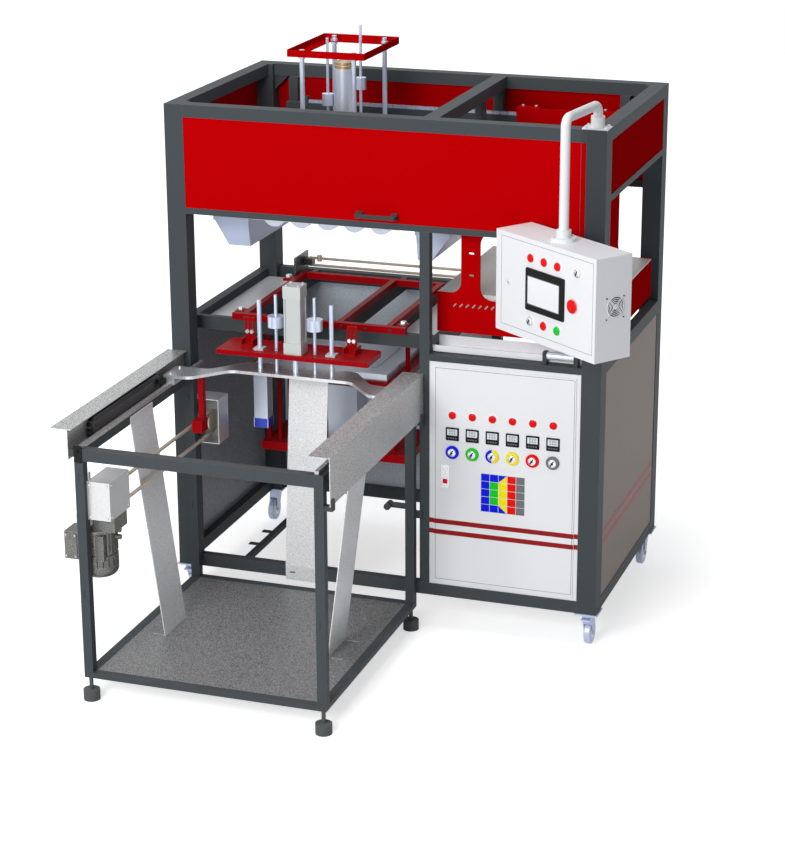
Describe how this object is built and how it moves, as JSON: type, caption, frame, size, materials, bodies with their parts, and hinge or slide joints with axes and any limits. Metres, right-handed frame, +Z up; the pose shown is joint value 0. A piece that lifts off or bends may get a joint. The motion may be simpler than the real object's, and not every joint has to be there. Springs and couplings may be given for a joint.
{
  "type": "thermoforming machine",
  "caption": "Thermoforming machine on casters with a sliding heater, press, mould table, stacker frame and a control box on a swivel arm",
  "frame": {"origin": "middle of the whole machine's footprint, on the floor", "axes": "+X to the right of the front view, +Y towards the back, +Z up"},
  "size_m": [2.0088, 2.1189, 2.361],
  "materials": {
    "frame_grey": "satin powder coat",
    "red_paint": "gloss paint",
    "galvanised": "dull galvanised sheet",
    "light_sheet": "satin paint",
    "steel": "machined",
    "chrome": "polished",
    "white_paint": "satin powder coat",
    "alloy": "milled",
    "black_plastic": "moulded",
    "dark_steel": "satin paint",
    "duct_blue": "satin paint",
    "caster_blue": "zinc plated",
    "bronze": "machined"
  },
  "bodies": {
    "frame": {"main_posts": "frame_grey", "long_rails": "frame_grey", "cross_rails": "frame_grey", "upper_panels": "red_paint", "panel_handle": "dark_steel", "table_sheets": "light_sheet", "lower_panels": "galvanised", "cabinet_shell": "frame_grey", "heater_beams": "steel", "hanging_brackets": "frame_grey", "caster_plates": "caster_blue", "heater_cylinder": "alloy", "guide_rails": "steel", "drive_chains": "dark_steel", "chain_guards": "galvanised", "press_beams": "frame_grey", "press_plate": "frame_grey", "press_cylinder": "alloy", "cooling_ducts": "duct_blue", "mould_base": "red_paint", "mould_cylinder": "alloy", "clamp_frame": "red_paint", "stacker_legs": "frame_grey", "stacker_beams": "frame_grey", "stacker_tray": "galvanised", "levelling_feet": "black_plastic", "stacker_covers": "white_paint", "cable_carrier": "black_plastic", "gearmotor": "alloy", "stack_guides": "galvanised", "arm_base": "white_paint"},
    "heater_carriage": {"heater_plates": "red_paint", "oven_box": "dark_steel", "heater_hangers": "red_paint"},
    "press": {"press_ring": "red_paint", "press_rods": "chrome", "plug_platen": "alloy"},
    "mould": {"mould_carrier": "red_paint", "mould_plate": "alloy", "mould_side_cylinder": "alloy"},
    "takeoff_slide": {"takeoff_bow": "steel", "takeoff_blocks": "steel", "takeoff_arm": "red_paint", "takeoff_rods": "chrome"},
    "takeoff_lift": {"lift_plate": "red_paint", "lift_cylinder": "white_paint"},
    "cabinet_door": {"cabinet_door": "white_paint", "door_controls": "black_plastic"},
    "box_arm": {"box_arm": "white_paint"},
    "control_box": {"control_box": "white_paint"},
    "box_door": {"box_door": "white_paint", "box_controls": "black_plastic"},
    "caster_front_left": {"caster_fork_front_left": "caster_blue"},
    "wheel_front_left": {"caster_wheel_front_left": "caster_blue"},
    "caster_front_right": {"caster_fork_front_right": "caster_blue"},
    "wheel_front_right": {"caster_wheel_front_right": "caster_blue"},
    "caster_rear_left": {"caster_fork_rear_left": "caster_blue"},
    "wheel_rear_left": {"caster_wheel_rear_left": "caster_blue"},
    "caster_rear_right": {"caster_fork_rear_right": "caster_blue"},
    "wheel_rear_right": {"caster_wheel_rear_right": "caster_blue"}
  },
  "joints": [
    {"name": "heater_travel", "type": "slide", "parent": "frame", "child": "heater_carriage", "axis": [-1, 0, 0], "range_m": [0, 0.69]},
    {"name": "press_lift", "type": "slide", "parent": "frame", "child": "press", "axis": [0, 0, 1], "range_m": [-0.11, 0]},
    {"name": "mould_lift", "type": "slide", "parent": "frame", "child": "mould", "axis": [0, 0, 1], "range_m": [0, 0.13]},
    {"name": "takeoff_travel", "type": "slide", "parent": "frame", "child": "takeoff_slide", "axis": [0, -1, 0], "range_m": [0, 0.64]},
    {"name": "takeoff_lift", "type": "slide", "parent": "takeoff_slide", "child": "takeoff_lift", "axis": [0, 0, 1], "range_m": [0, 0.095]},
    {"name": "cabinet_door_hinge", "type": "hinge", "parent": "frame", "child": "cabinet_door", "pos_m": [0.71758, 0.0125, 0.218], "axis": [0, 0, 1], "range_deg": [0, 110]},
    {"name": "arm_swivel", "type": "hinge", "parent": "frame", "child": "box_arm", "pos_m": [0.76558, 0.0625, 2.145], "axis": [0, 0, 1], "range_deg": [0, 45]},
    {"name": "box_swivel", "type": "hinge", "parent": "box_arm", "child": "control_box", "pos_m": [0.71958, -0.2335, 1.775], "axis": [0, 0, 1], "range_deg": [0, 36]},
    {"name": "box_door_hinge", "type": "hinge", "parent": "control_box", "child": "box_door", "pos_m": [0.90608, -0.47444, 1.346], "axis": [0, 0, 1], "range_deg": [0, 110]},
    {"name": "caster_swivel_front_left", "type": "hinge", "parent": "frame", "child": "caster_front_left", "pos_m": [-0.94442, 0.0525, 0.13], "axis": [0, 0, 1], "continuous": true},
    {"name": "wheel_spin_front_left", "type": "hinge", "parent": "caster_front_left", "child": "wheel_front_left", "pos_m": [-0.94442, 0.0805, 0.05], "axis": [1, 0, 0], "continuous": true},
    {"name": "caster_swivel_front_right", "type": "hinge", "parent": "frame", "child": "caster_front_right", "pos_m": [0.77558, 0.0525, 0.13], "axis": [0, 0, 1], "continuous": true},
    {"name": "wheel_spin_front_right", "type": "hinge", "parent": "caster_front_right", "child": "wheel_front_right", "pos_m": [0.77558, 0.0805, 0.05], "axis": [1, 0, 0], "continuous": true},
    {"name": "caster_swivel_rear_left", "type": "hinge", "parent": "frame", "child": "caster_rear_left", "pos_m": [-0.94442, 1.0125, 0.13], "axis": [0, 0, 1], "continuous": true},
    {"name": "wheel_spin_rear_left", "type": "hinge", "parent": "caster_rear_left", "child": "wheel_rear_left", "pos_m": [-0.94442, 0.9845, 0.05], "axis": [1, 0, 0], "continuous": true},
    {"name": "caster_swivel_rear_right", "type": "hinge", "parent": "frame", "child": "caster_rear_right", "pos_m": [0.77558, 1.0125, 0.13], "axis": [0, 0, 1], "continuous": true},
    {"name": "wheel_spin_rear_right", "type": "hinge", "parent": "caster_rear_right", "child": "wheel_rear_right", "pos_m": [0.77558, 0.9845, 0.05], "axis": [1, 0, 0], "continuous": true}
  ]
}
